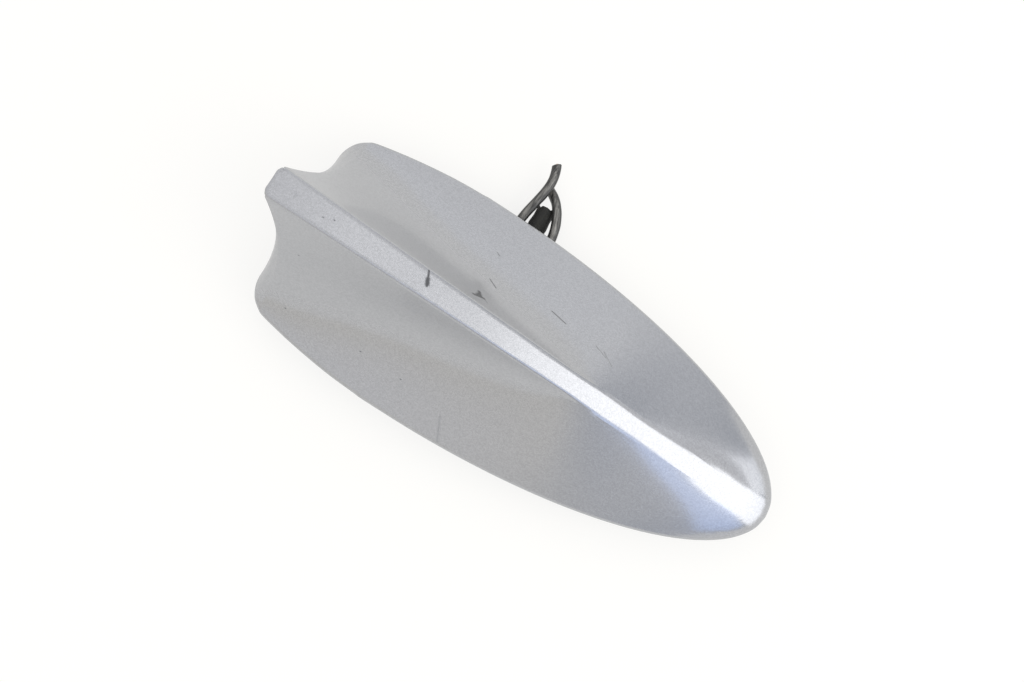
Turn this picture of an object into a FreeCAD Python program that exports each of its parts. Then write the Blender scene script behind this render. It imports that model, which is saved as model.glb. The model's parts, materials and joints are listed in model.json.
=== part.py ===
import FreeCAD, Part
import math
import os
import Sketcher
from FreeCAD import Vector

# Car roof antenna in the form of a fin, millimetres.
# The origin lies on the axis of the fixing thread, on the roof: +X points to the nose, +Z up.

document = FreeCAD.newDocument("roof_antenna")
sheet = document.addObject("Spreadsheet::Sheet", "sizes")

SIZES = {
    # Painted cover, seen from above: a long elliptic nose, a slow side arc, round tail corners
    "cover_length": 157.5, "cover_width": 68, "cover_height": 56, "cover_wall": 2,
    "nose_reach": 86, "nose_run": 110, "side_radius": 190, "tail_corner_radius": 9.7,
    # Rim of the cover, which stands on the gasket
    "rim_height": 2.5, "rim_edge_radius": 0.8,
    # Flat ribbon along the crest
    "crest_width_tail": 9, "crest_width_nose": 4.4, "crest_start": 14, "crest_start_height": 12.2,
    "crest_angle_nose": 18, "crest_angle_tail": 14, "crest_overhang": 3.2,
    "crest_corner_radius": 2.2, "crest_edge_radius": 1.5,
    # Root of the fin: the line where the sloping flank turns up, from the crest in front down to the tail
    "root_front": 24, "root_side": 16, "root_height": 11, "root_fade": 30,
    # Hollow of the tail face under the crest and over the rim
    "tail_hollow_high": 8.4, "tail_hollow_low": 2.4,
    # Screws that hold the cover from below, and the posts they bite into
    "cover_screw_diameter": 3, "cover_screw_length": 8, "cover_screw_head": 5.6,
    "cover_post_diameter": 6.4, "cover_screw_from_nose": 34, "cover_screw_front_side": 8,
    "cover_screw_middle": 4, "cover_screw_middle_side": 19.5,
    "cover_screw_from_tail": 13, "cover_screw_rear_side": 12,
    # Gasket and cast base
    "gasket_thickness": 1.5, "gasket_inset": 0.6, "base_thickness": 2, "base_inset": 9,
    # Spigot of the base, which passes through the roof
    "spigot_front": 7, "spigot_rear": 24, "spigot_far": 9, "spigot_near": 8, "spigot_depth": 10,
    "spigot_corner_radius": 2, "fixing_bore": 5, "fixing_depth": 11,
    # Shaft for the leads inside the spigot, and its window to the far side
    "shaft_front": -5.4, "shaft_length": 15.6, "shaft_near": 5, "window_wall": 3,
    "window_sill": 1, "window_height": 8,
    # Leads
    "lead_diameter": 2.8, "sheath_diameter": 5.6, "lead_pitch": 5.4, "lead_middle": -13.2, "lead_level": -5,
    "gps_lead_side": -1, "gps_lead_reach": 3.5, "phone_lead_height": 14, "aerial_lead_height": 20,
    "aerial_lead_reach": 5,
    # Satellite receiver
    "gps_place": 24, "gps_board_length": 30, "gps_board_width": 28, "board_thickness": 1,
    "gps_post_height": 3, "gps_post_diameter": 4.6, "gps_post_margin": 2.7,
    "gps_screw_diameter": 2, "gps_screw_length": 4, "gps_screw_head": 3.6, "gps_screw_head_height": 1.3,
    "patch_side": 20, "patch_thickness": 4, "patch_pad_thickness": 0.5,
    "feed_pin_diameter": 1, "feed_pin_head": 2.4, "feed_pin_head_height": 0.3, "feed_pin_tail": 0.8,
    "can_length": 18, "can_width": 16, "can_height": 2.4, "can_sheet": 0.3,
    # Upright telephone aerial board and its holder
    "holder_shaft_gap": 9, "holder_tail_gap": 15.5, "holder_width": 10, "holder_height": 7,
    "holder_slot_depth": 4.5,
    "holder_ear_length": 8, "holder_ear_reach": 8, "holder_ear_thickness": 2,
    "holder_screw_diameter": 2.5, "holder_screw_length": 3.6, "holder_screw_head": 4.4,
    "holder_screw_head_height": 1.5,
    "aerial_tongue_margin": 2, "aerial_shoulder": 12.5, "aerial_front": 5, "aerial_rear": 5,
    "aerial_top_gap": 4,
    # Clearances
    "screw_clearance": 0.1, "lead_clearance": 0.1, "board_clearance": 0.1, "grommet_clearance": 0.05,
    "spigot_clearance": 0.3,
}

for row, (alias, number) in enumerate(SIZES.items(), start=1):
    sheet.set(f"A{row}", alias)
    sheet.set(f"B{row}", str(number))
    sheet.setAlias(f"B{row}", alias)
document.recompute()


def size(alias):
    """Returns one driving size from the sheet."""
    return float(sheet.get(alias))


TAIL = "(sizes.nose_reach - sizes.cover_length)"
SHAFT_REAR = "(sizes.shaft_front - sizes.shaft_length)"
BASE_TOP = "(sizes.gasket_thickness + sizes.base_thickness)"
BOARD_TOP = f"({BASE_TOP} + sizes.gps_post_height + sizes.board_thickness)"
gasket_top = size("gasket_thickness")
base_top = gasket_top + size("base_thickness")
rim_top = gasket_top + size("rim_height")
nose_x = size("nose_reach")
tail_x = nose_x - size("cover_length")
widest_x = nose_x - size("nose_run")


# Form of the cover

class Form:
    """The cover's outer form, or a copy of it that lies inset by a wall."""

    def __init__(self, inset):
        self.inset = inset
        self.half_width = size("cover_width") / 2 - inset
        self.nose_run = size("nose_run") - inset
        self.corner_radius = size("tail_corner_radius")
        self.side_radius = size("side_radius")
        self.side_centre_y = size("cover_width") / 2 - self.side_radius
        self.corner_x = tail_x + self.corner_radius
        reach = self.side_radius - self.corner_radius
        self.corner_y = self.side_centre_y + math.sqrt(reach ** 2 - (self.corner_x - widest_x) ** 2)
        self.turn = math.atan2(self.corner_y - self.side_centre_y, self.corner_x - widest_x)
        self.crest_tail_x = tail_x - size("crest_overhang") + inset
        self.crest_nose_x = nose_x - size("crest_start") - inset
        self.rim_top = rim_top - inset
        self.root_front = size("root_front")
        self.root_side = size("root_side") - inset
        self.root_height = size("root_height") - inset / 2

    def rim(self, station):
        """Returns the rim in plan: tail 0 to 1, corner to 2, side arc to 3, elliptic nose to 4."""
        if station <= 1:
            return Vector(tail_x + self.inset, station * self.corner_y, 0)
        if station <= 2:
            angle = math.pi + (station - 1) * (self.turn - math.pi)
            radius = self.corner_radius - self.inset
            turned = Vector(math.cos(angle), math.sin(angle), 0)
            return Vector(self.corner_x, self.corner_y, 0) + turned * radius
        if station <= 3:
            angle = self.turn + (station - 2) * (math.pi / 2 - self.turn)
            radius = self.side_radius - self.inset
            turned = Vector(math.cos(angle), math.sin(angle), 0)
            return Vector(widest_x, self.side_centre_y, 0) + turned * radius
        angle = (4 - station) * math.pi / 2
        return Vector(widest_x + self.nose_run * math.cos(angle), self.half_width * math.sin(angle), 0)

    def crest_share(self, x):
        """Returns 0 where the crest begins behind the nose and 1 at its tail end."""
        return (self.crest_nose_x - x) / (self.crest_nose_x - self.crest_tail_x)

    def crest_height(self, x):
        """Returns the height of the crest: a cubic between its two ends and their slopes."""
        share = self.crest_share(x)
        span = self.crest_nose_x - self.crest_tail_x
        rise_nose = span * math.tan(math.radians(size("crest_angle_nose")))
        rise_tail = span * math.tan(math.radians(size("crest_angle_tail")))
        height = (2 * share ** 3 - 3 * share ** 2 + 1) * size("crest_start_height")
        height += (share ** 3 - 2 * share ** 2 + share) * rise_nose
        height += (3 * share ** 2 - 2 * share ** 3) * size("cover_height")
        height += (share ** 3 - share ** 2) * rise_tail
        return height - self.inset

    def crest_half(self, x):
        """Returns half the width of the crest ribbon, never under a fifth of a wall."""
        nose, tail = size("crest_width_nose") / 2, size("crest_width_tail") / 2
        half = nose + (tail - nose) * self.crest_share(x)
        return max(half - self.inset, size("cover_wall") / 5)

    def crest_edge(self, station):
        """Returns the point of the crest's edge that belongs to a station of the rim."""
        tail_half = self.crest_half(self.crest_tail_x)
        corner = min(size("crest_corner_radius"), tail_half * 0.8)
        if station <= 1:
            x, y = self.crest_tail_x, station * (tail_half - corner)
        elif station <= 2:
            angle = (station - 1) * math.pi / 2
            x = self.crest_tail_x + corner * (1 - math.cos(angle))
            y = tail_half - corner * (1 - math.sin(angle))
        elif station <= 3:
            start = self.crest_tail_x + corner
            x = start + (station - 2) * (widest_x - start)
            y = self.crest_half(x)
        else:
            angle = (4 - station) * math.pi / 2
            x = widest_x + (self.crest_nose_x - widest_x) * math.cos(angle)
            y = self.crest_half(x) * math.sin(min(angle / NOSE_ROUND, 1) * math.pi / 2)
        return Vector(x, y, self.crest_height(x))

    def crest_middle(self, station):
        """Returns the point of the crest's middle line that belongs to a station of the rim."""
        edge = self.crest_edge(station)
        tail_half = self.crest_half(self.crest_tail_x)
        start = self.crest_tail_x + tail_half
        end = self.crest_nose_x - 2 * self.crest_half(self.crest_nose_x)
        share = (edge.x - self.crest_tail_x) / (self.crest_nose_x - self.crest_tail_x)
        x = start + share * (end - start) - tail_half / 2 * max(1 - station, 0)
        return Vector(x, 0, self.crest_height(x))

    def foot(self, station):
        """Returns the point of the rim's upper edge at a station."""
        return self.rim(station) + Vector(0, 0, self.rim_top)

    def root_shares(self, station):
        """Returns how far in and up the root of the fin lies, as shares of the way from rim to crest."""
        foot, edge = self.foot(station), self.crest_edge(station)
        share = ((self.root_front - edge.x) / (self.root_front - self.crest_tail_x)) ** ROOT_BEND
        side = self.crest_half(self.root_front) * (1 - share) + self.root_side * share
        height = self.crest_height(self.root_front) * (1 - share) + self.root_height * share
        return (foot.y - side) / (foot.y - edge.y), (height - foot.z) / (edge.z - foot.z)

    def knee(self, station):
        """Returns the shares in and up of the flank's knee, and how closely the flank follows it."""
        ahead = self.crest_edge(station).x - self.root_front
        if ahead < 0:
            pull = TAIL_PULL + (ROOT_PULL - TAIL_PULL) * eased(station - 2)
            return *self.root_shares(max(station, 2)), pull
        hold = 1 - eased(ahead / size("root_fade"))
        bulge = eased(ahead / (self.crest_nose_x - self.root_front)) ** 2
        inward = 0.5 + 0.5 * hold - NOSE_BULGE_IN * bulge
        upward = 0.5 + 0.5 * hold + NOSE_BULGE_UP * bulge
        return inward, upward, NOSE_PULL + (ROOT_PULL - NOSE_PULL) * hold

    def controls(self, station):
        """Returns the control points of the four strips that run from rim to crest at a station."""
        foot, edge = self.foot(station), self.crest_edge(station)
        reach = Vector(edge.x - foot.x, edge.y - foot.y, 0)
        rise = Vector(0, 0, edge.z - foot.z)
        inward, upward, pull = self.knee(station)
        knee = foot + reach * inward + rise * upward
        rim_cut = size("rim_edge_radius")
        crest_cut = size("crest_edge_radius") * self.crest_half(edge.x) / self.crest_half(self.crest_tail_x)
        side = eased(station - 1)
        tail_low = foot + reach * TAIL_LOW_IN + rise * TAIL_LOW_UP
        tail_high = foot + reach * TAIL_HIGH_IN + rise * TAIL_HIGH_UP
        low = tail_low * (1 - side) + (foot + (knee - foot) * pull) * side
        high = tail_high * (1 - side) + (edge + (knee - edge) * pull) * side
        low.x += size("tail_hollow_low") * (1 - side)
        high.x += size("tail_hollow_high") * (1 - eased(station - 2))
        down = ((high - edge) + (low - edge) * CREST_LEAN).normalize()
        high = edge + down * max((high - edge).Length, 2 * crest_cut)
        rim_end = foot + (low - foot).normalize() * rim_cut
        crest_start = edge + down * crest_cut
        middle = self.crest_middle(station)
        crest_end = edge + (middle - edge).normalize() * crest_cut
        return {
            "rim": [foot - Vector(0, 0, rim_cut), foot, rim_end],
            "flank": [rim_end, low, high, crest_start],
            "edge": [crest_start, edge, crest_end],
            "ribbon": [crest_end, middle],
        }


def eased(share):
    """Returns a share held between 0 and 1, with a soft start and end."""
    held = min(max(share, 0), 1)
    return held * held * (3 - 2 * held)


# Bend of the fin's root line: below 1 it leaves the crest at a steeper angle than it ends at the tail
ROOT_BEND = 0.7
# How closely the flank follows its knee at the tail, along the fin's root and at the nose
TAIL_PULL = 0.7
ROOT_PULL = 0.9
NOSE_PULL = 0.62
# How far the knee of the nose lies outside the straight way from rim to crest, as shares in and up
NOSE_BULGE_IN = 0.22
NOSE_BULGE_UP = 0.16
# Where the two inner control points of the tail face lie, as shares in and up of the way from rim to crest
TAIL_LOW_IN, TAIL_LOW_UP = 0.43, 0.12
TAIL_HIGH_IN, TAIL_HIGH_UP = 0.83, 0.72
# How far the flank leans out under the crest's edge
CREST_LEAN = 0.05
# Turn of the nose, in radians, over which the crest ribbon closes in a round end
NOSE_ROUND = 0.2
SMALL_STEP = 0.002
STATIONS = [0, 0.35, 0.7, 1, 1.2, 1.4, 1.6, 1.8, 2, 2.2, 2.45, 2.7, 2.85, 3]
STATIONS += [3 + step / 16 for step in range(1, 17)]


def spline(points, first, last):
    """Returns a curve through a point per station, with its end directions."""
    curve = Part.BSplineCurve()
    places = [float(station) for station in STATIONS]
    curve.interpolate(Points=points, Parameters=places, InitialTangent=first, FinalTangent=last)
    return curve


def strip(form, name):
    """Returns the face of one strip of the skin, on the far side."""
    rows = [form.controls(station)[name] for station in STATIONS]
    after_tail = form.controls(SMALL_STEP)[name]
    before_nose = form.controls(4 - SMALL_STEP)[name]
    curves = []
    for index, points in enumerate(zip(*rows)):
        first = after_tail[index] - points[0]
        last = points[-1] - before_nose[index]
        curves.append(spline(list(points), first, last))
    poles = [list(row) for row in zip(*[curve.getPoles() for curve in curves])]
    degree = len(curves) - 1
    surface = Part.BSplineSurface()
    surface.buildFromPolesMultsKnots(
        poles, curves[0].getMultiplicities(), [degree + 1, degree + 1],
        curves[0].getKnots(), [0.0, 1.0], False, False, 3, degree)
    return surface.toShape(), curves[0]


def skin_solid(inset, foot):
    """Returns the solid under a skin that lies inset from the cover's outer face and stands on a level."""
    form = Form(inset)
    faces = []
    for name in ("rim", "flank", "edge", "ribbon"):
        face, curve = strip(form, name)
        faces.append(face)
        if name == "rim":
            rim_edge = curve.toShape()
    drop = Vector(0, 0, foot - rim_edge.Vertexes[0].Point.z)
    faces.append(rim_edge.extrude(drop))
    across = Vector(0, 1, 0)
    faces += [face.mirror(Vector(), across) for face in faces]
    lower_edge = rim_edge.translated(drop)
    faces.append(Part.Face(Part.Wire([lower_edge, lower_edge.mirror(Vector(), across)])))
    shell = Part.makeCompound(faces)
    shell.sewShape(0.001)
    solid = Part.makeSolid(shell.Shells[0] if shell.Shells else shell)
    if solid.Volume < 0:
        solid.reverse()
    return solid


cover_outside = skin_solid(0, gasket_top)
cover_inside = skin_solid(size("cover_wall"), gasket_top - size("gasket_thickness"))


def outline_prism(inset, bottom, height):
    """Returns a slab in the cover's plan, inset from its rim."""
    form = Form(inset)
    corner, side = form.rim(2), form.rim(3)
    nose = Part.Ellipse(Vector(widest_x, 0, 0), form.nose_run, form.half_width)
    half = [
        Part.LineSegment(form.rim(0), form.rim(1)),
        Part.Arc(form.rim(1), form.rim(1.5), corner),
        Part.Arc(corner, form.rim(2.5), side),
        Part.ArcOfEllipse(nose, 0, math.pi / 2),
    ]
    edges = [curve.toShape() for curve in half]
    edges += [edge.mirror(Vector(), Vector(0, 1, 0)) for edge in edges]
    face = Part.Face(Part.Wire(Part.__sortEdges__(edges)))
    face.translate(Vector(0, 0, bottom))
    return face.extrude(Vector(0, 0, height))


# Document objects

def bind(thing, **expressions):
    """Binds properties to the sheet: a double underscore in a name stands for a dot."""
    for name, expression in expressions.items():
        thing.setExpression(name.replace("__", "."), expression)
    return thing


def place(thing, x="0", y="0", z="0"):
    """Binds the place of an object to the sheet."""
    return bind(thing, Placement__Base__x=x, Placement__Base__y=y, Placement__Base__z=z)


def cylinder(name, diameter, height, x="0", y="0", z="0"):
    """Adds an upright cylinder on a level z."""
    thing = bind(document.addObject("Part::Cylinder", name), Radius=f"({diameter}) / 2", Height=height)
    return place(thing, x, y, z)


def cone(name, lower, upper, height, x, y, z):
    """Adds an upright cone between two diameters."""
    thing = document.addObject("Part::Cone", name)
    bind(thing, Radius1=f"({lower}) / 2", Radius2=f"({upper}) / 2", Height=height)
    return place(thing, x, y, z)


def box(name, length, width, height, x, y, z):
    """Adds a box from its lowest corner."""
    thing = bind(document.addObject("Part::Box", name), Length=length, Width=width, Height=height)
    return place(thing, x, y, z)


def joined(name, things):
    """Adds the union of some objects."""
    union = document.addObject("Part::MultiFuse", name)
    union.Shapes = things
    return union


def cut(name, base, tool):
    """Adds a solid less a tool."""
    difference = document.addObject("Part::Cut", name)
    difference.Base = base
    difference.Tool = tool
    return difference


def group(name, things):
    """Adds like pieces as one node of separate solids."""
    compound = document.addObject("Part::Compound", name)
    compound.Links = things
    return compound


def solid(name, shape):
    """Adds a shape worked out from the sheet's sizes."""
    feature = document.addObject("Part::Feature", name)
    feature.Shape = shape
    return feature


def sketch(body, name, role="XY_Plane"):
    """Adds a sketch on one of a body's own planes."""
    drawing = body.newObject("Sketcher::SketchObject", name)
    support = next(plane for plane in body.Origin.OriginFeatures if plane.Role == role)
    drawing.AttachmentSupport = [(support, "")]
    drawing.MapMode = "FlatFace"
    return drawing


def lines(drawing, corners):
    """Draws a closed outline of straight lines and ties its ends together."""
    count = len(corners)
    for index, corner in enumerate(corners):
        drawing.addGeometry(Part.LineSegment(Vector(*corner, 0), Vector(*corners[(index + 1) % count], 0)))
    for index in range(count):
        drawing.addConstraint(Sketcher.Constraint("Coincident", index, 2, (index + 1) % count, 1))


def dimension(drawing, expression, *arguments):
    """Adds a driven dimension to a sketch and binds it to the sheet."""
    index = drawing.addConstraint(Sketcher.Constraint(*arguments))
    drawing.setExpression(f"Constraints[{index}]", expression)


def rectangle(drawing, length, width):
    """Draws a rectangle round the sketch's origin, with sides bound to the sheet."""
    lines(drawing, [(-5, -4), (5, -4), (5, 4), (-5, 4)])
    for index in (0, 2):
        drawing.addConstraint(Sketcher.Constraint("Horizontal", index))
    for index in (1, 3):
        drawing.addConstraint(Sketcher.Constraint("Vertical", index))
    drawing.addConstraint(Sketcher.Constraint("Symmetric", 0, 1, 1, 2, -1, 1))
    dimension(drawing, length, "Distance", 0, 10)
    dimension(drawing, width, "Distance", 1, 8)


def corner_circles(drawing, x, y, diameter):
    """Draws four circles in the corners of a rectangle round the sketch's origin."""
    for place_x, place_y in ((6, 5), (-6, 5), (-6, -5), (6, -5)):
        drawing.addGeometry(Part.Circle(Vector(place_x, place_y, 0), Vector(0, 0, 1), 1))
    dimension(drawing, x, "DistanceX", -1, 1, 0, 3, 6)
    dimension(drawing, y, "DistanceY", -1, 1, 0, 3, 5)
    drawing.addConstraint(Sketcher.Constraint("Symmetric", 0, 3, 1, 3, -2))
    drawing.addConstraint(Sketcher.Constraint("Symmetric", 0, 3, 2, 3, -1, 1))
    drawing.addConstraint(Sketcher.Constraint("Symmetric", 0, 3, 3, 3, -1))
    for index in (1, 2, 3):
        drawing.addConstraint(Sketcher.Constraint("Equal", 0, index))
    dimension(drawing, diameter, "Diameter", 0, 2)


def circle(drawing, diameter):
    """Draws a circle round the sketch's origin."""
    drawing.addGeometry(Part.Circle(Vector(), Vector(0, 0, 1), 1))
    drawing.addConstraint(Sketcher.Constraint("Coincident", 0, 3, -1, 1))
    dimension(drawing, diameter, "Diameter", 0, 2)


def pad(body, drawing, length, middle=False):
    """Raises a solid from a sketch."""
    feature = body.newObject("PartDesign::Pad", drawing.Name + "_pad")
    feature.Profile = drawing
    feature.Midplane = middle
    return bind(feature, Length=length)


def pocket(body, drawing, length=None, upward=True):
    """Sinks a sketch into a body, all the way through unless a depth is given."""
    feature = body.newObject("PartDesign::Pocket", drawing.Name + "_pocket")
    feature.Profile = drawing
    feature.Reversed = upward
    if length is None:
        feature.Type = "ThroughAll"
        return feature
    return bind(feature, Length=length)


def body_at(name, x="0", y="0", z="0"):
    """Adds an empty body at a place bound to the sheet."""
    return place(document.addObject("PartDesign::Body", name), x, y, z)


def lead(name, points, diameter):
    """Adds a round lead along straight runs that are joined by tangent arcs."""
    points = [Vector(*point) for point in points]
    edges = []
    start = points[0]
    for before, corner, after in zip(points, points[1:], points[2:]):
        arriving, leaving = (corner - before), (after - corner)
        cut_back = 0.45 * min(arriving.Length, leaving.Length)
        first = corner - arriving.normalize() * cut_back
        last = corner + leaving.normalize() * cut_back
        bulge = (first + last) * 0.5 - corner
        half_turn = arriving.getAngle(leaving) / 2
        radius = cut_back / math.tan(half_turn)
        centre = corner + bulge.normalize() * (radius / math.cos(half_turn))
        middle = centre - bulge * radius
        edges.append(Part.LineSegment(start, first).toShape())
        edges.append(Part.Arc(first, middle, last).toShape())
        start = last
    edges.append(Part.LineSegment(start, points[-1]).toShape())
    path = Part.Wire(edges)
    section = Part.Wire(Part.Circle(points[0], points[1] - points[0], diameter / 2).toShape())
    tube = path.makePipeShell([section], True, False)
    return solid(name, tube)


# Cover with its six posts

SCREW_ROWS = {
    "front": "sizes.nose_reach - sizes.cover_screw_from_nose",
    "middle": "sizes.cover_screw_middle",
    "rear": f"{TAIL} + sizes.cover_screw_from_tail",
}
SCREW_PLACES = [
    (x, f"{sign} * sizes.cover_screw_{row}_side") for row, x in SCREW_ROWS.items() for sign in (1, -1)
]
POST_BORE = "sizes.cover_screw_diameter + sizes.screw_clearance"
SCREW_TIP = "sizes.gasket_thickness + sizes.cover_screw_length"
POST_BORE_DEPTH = f"{SCREW_TIP} + sizes.cover_screw_diameter / 2 - {BASE_TOP}"

cover_skin = solid("cover_skin", cover_outside)
cover_hollow = solid("cover_hollow", cover_inside)
cover_shell = cut("cover_shell", cover_skin, cover_hollow)
posts = joined("cover_posts", [
    cylinder(f"cover_post_{i}", "sizes.cover_post_diameter", "sizes.cover_height", x, y, BASE_TOP)
    for i, (x, y) in enumerate(SCREW_PLACES)
])
posts_within = document.addObject("Part::Common", "cover_posts_within")
posts_within.Base = posts
posts_within.Tool = cover_skin
post_bores = joined("cover_post_bores", [
    cylinder(f"cover_post_bore_{i}", POST_BORE, POST_BORE_DEPTH, x, y, BASE_TOP)
    for i, (x, y) in enumerate(SCREW_PLACES)
])
cover = cut("fin_cover", joined("cover_with_posts", [cover_shell, posts_within]), post_bores)

# Gasket

SPIGOT_LENGTH = "(sizes.spigot_front + sizes.spigot_rear)"
SPIGOT_WIDTH = "(sizes.spigot_far + sizes.spigot_near)"
gasket_mat = solid("gasket_mat", outline_prism(size("gasket_inset"), 0, size("gasket_thickness")))
gasket_hole = box(
    "gasket_hole", f"{SPIGOT_LENGTH} + 2 * sizes.spigot_clearance",
    f"{SPIGOT_WIDTH} + 2 * sizes.spigot_clearance", "sizes.gasket_thickness",
    "-sizes.spigot_rear - sizes.spigot_clearance", "-sizes.spigot_near - sizes.spigot_clearance", "0")
gasket = cut("roof_gasket", gasket_mat, gasket_hole)

# Cast base: slab, spigot and board posts, less thread bore, lead shaft, window and screw holes

slab = solid("base_slab", outline_prism(size("base_inset"), gasket_top, size("base_thickness")))
spigot_block = box(
    "spigot_block", SPIGOT_LENGTH, SPIGOT_WIDTH, f"sizes.spigot_depth + {BASE_TOP}",
    "-sizes.spigot_rear", "-sizes.spigot_near", "-sizes.spigot_depth")
document.recompute()
spigot = document.addObject("Part::Fillet", "spigot")
spigot.Base = spigot_block
upright = [
    index for index, edge in enumerate(spigot_block.Shape.Edges, start=1)
    if abs(edge.tangentAt(edge.FirstParameter).z) > 0.9
]
spigot.Edges = [(i, size("spigot_corner_radius"), size("spigot_corner_radius")) for i in upright]

GPS_POST_X = "(sizes.gps_board_length / 2 - sizes.gps_post_margin)"
GPS_POST_Y = "(sizes.gps_board_width / 2 - sizes.gps_post_margin)"
GPS_POSTS = [
    (f"sizes.gps_place + {sx} * {GPS_POST_X}", f"{sy} * {GPS_POST_Y}") for sx in (1, -1) for sy in (1, -1)
]
GPS_BORE = "sizes.gps_screw_diameter + sizes.screw_clearance"
gps_posts = [
    cylinder(f"gps_post_{i}", "sizes.gps_post_diameter", "sizes.gps_post_height", x, y, BASE_TOP)
    for i, (x, y) in enumerate(GPS_POSTS)
]
gps_bores = [
    cylinder(f"gps_post_bore_{i}", GPS_BORE, "sizes.gps_post_height", x, y, BASE_TOP)
    for i, (x, y) in enumerate(GPS_POSTS)
]

HOLDER_FRONT = f"({SHAFT_REAR} - sizes.holder_shaft_gap)"
HOLDER_REAR = f"({TAIL} + sizes.holder_tail_gap)"
HOLDER_LENGTH = f"({HOLDER_FRONT} - {HOLDER_REAR})"
HOLDER_MIDDLE = f"(({HOLDER_FRONT} + {HOLDER_REAR}) / 2)"
HOLDER_SCREW_Y = "(sizes.holder_width / 2 + sizes.holder_ear_reach / 2)"
HOLDER_BORE = "sizes.holder_screw_diameter + sizes.screw_clearance"
holder_bores = [
    cylinder(f"holder_bore_{i}", HOLDER_BORE, "sizes.base_thickness",
             HOLDER_MIDDLE, f"{sign} * {HOLDER_SCREW_Y}", "sizes.gasket_thickness")
    for i, sign in enumerate((1, -1))
]

COVER_HEAD_DEPTH = "((sizes.cover_screw_head - sizes.cover_screw_diameter) / 2)"
sinks = [
    cone(f"screw_sink_{i}", "sizes.cover_screw_head + sizes.screw_clearance", POST_BORE, COVER_HEAD_DEPTH,
         x, y, "sizes.gasket_thickness")
    for i, (x, y) in enumerate(SCREW_PLACES)
]
screw_holes = [
    cylinder(f"screw_hole_{i}", POST_BORE, "sizes.base_thickness", x, y, "sizes.gasket_thickness")
    for i, (x, y) in enumerate(SCREW_PLACES)
]
fixing_bore = cylinder("fixing_bore", "sizes.fixing_bore", "sizes.fixing_depth", z="-sizes.spigot_depth")
SHAFT_FLOOR = "(-sizes.spigot_depth + sizes.window_sill)"
WINDOW_INSIDE = "(sizes.spigot_far - sizes.window_wall)"
shaft = box("lead_shaft", "sizes.shaft_length", f"sizes.shaft_near + {WINDOW_INSIDE}",
            f"{BASE_TOP} - {SHAFT_FLOOR}", SHAFT_REAR, "-sizes.shaft_near", SHAFT_FLOOR)
window = box("lead_window", "sizes.shaft_length", "sizes.window_wall", "sizes.window_height",
             SHAFT_REAR, WINDOW_INSIDE, SHAFT_FLOOR)
base_tools = [fixing_bore, shaft, window] + gps_bores + holder_bores + sinks + screw_holes
base = cut("base_plate", joined("base_casting", [slab, spigot] + gps_posts), joined("base_cuts", base_tools))

# Countersunk cover screws

cover_screws = group("cover_screws", [
    joined(f"cover_screw_{i}", [
        cone(f"cover_screw_head_{i}", "sizes.cover_screw_head", "sizes.cover_screw_diameter",
             COVER_HEAD_DEPTH, x, y, "sizes.gasket_thickness"),
        cylinder(f"cover_screw_shank_{i}", "sizes.cover_screw_diameter", "sizes.cover_screw_length",
                 x, y, "sizes.gasket_thickness"),
    ]) for i, (x, y) in enumerate(SCREW_PLACES)
])

# Satellite board, its screws, screening can, ceramic patch and feed pin

gps_board = body_at("gps_board", "sizes.gps_place", "0", f"{BASE_TOP} + sizes.gps_post_height")
board_outline = sketch(gps_board, "gps_board_outline")
rectangle(board_outline, "sizes.gps_board_length", "sizes.gps_board_width")
pad(gps_board, board_outline, "sizes.board_thickness")
board_holes = sketch(gps_board, "gps_board_holes")
corner_circles(board_holes, GPS_POST_X, GPS_POST_Y, GPS_BORE)
pocket(gps_board, board_holes)
FEED_BORE = "sizes.feed_pin_diameter + sizes.screw_clearance"
board_feed = sketch(gps_board, "gps_board_feed")
circle(board_feed, FEED_BORE)
pocket(gps_board, board_feed)

gps_screws = group("gps_board_screws", [
    joined(f"gps_screw_{i}", [
        cylinder(f"gps_screw_head_{i}", "sizes.gps_screw_head", "sizes.gps_screw_head_height",
                 x, y, BOARD_TOP),
        cylinder(f"gps_screw_shank_{i}", "sizes.gps_screw_diameter", "sizes.gps_screw_length", x, y,
                 f"{BOARD_TOP} - sizes.gps_screw_length"),
    ]) for i, (x, y) in enumerate(GPS_POSTS)
])

BOARD_UNDERSIDE = f"{BASE_TOP} + sizes.gps_post_height"
can = body_at("gps_shield_can", "sizes.gps_place", "0", f"{BOARD_UNDERSIDE} - sizes.can_height")
can_outline = sketch(can, "can_outline")
rectangle(can_outline, "sizes.can_length", "sizes.can_width")
pad(can, can_outline, "sizes.can_height")
can_inside = sketch(can, "can_inside")
rectangle(can_inside, "sizes.can_length - 2 * sizes.can_sheet", "sizes.can_width - 2 * sizes.can_sheet")
bind(can_inside, AttachmentOffset__Base__z="sizes.can_sheet")
pocket(can, can_inside, "sizes.can_height - sizes.can_sheet")


def square_with_bore(name, level, thickness):
    """Adds a square plate over the feed pin, with a bore for it."""
    body = body_at(name, "sizes.gps_place", "0", level)
    outline = sketch(body, f"{name}_outline")
    rectangle(outline, "sizes.patch_side", "sizes.patch_side")
    pad(body, outline, thickness)
    bore = sketch(body, f"{name}_bore")
    circle(bore, FEED_BORE)
    pocket(body, bore)
    return body


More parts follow.
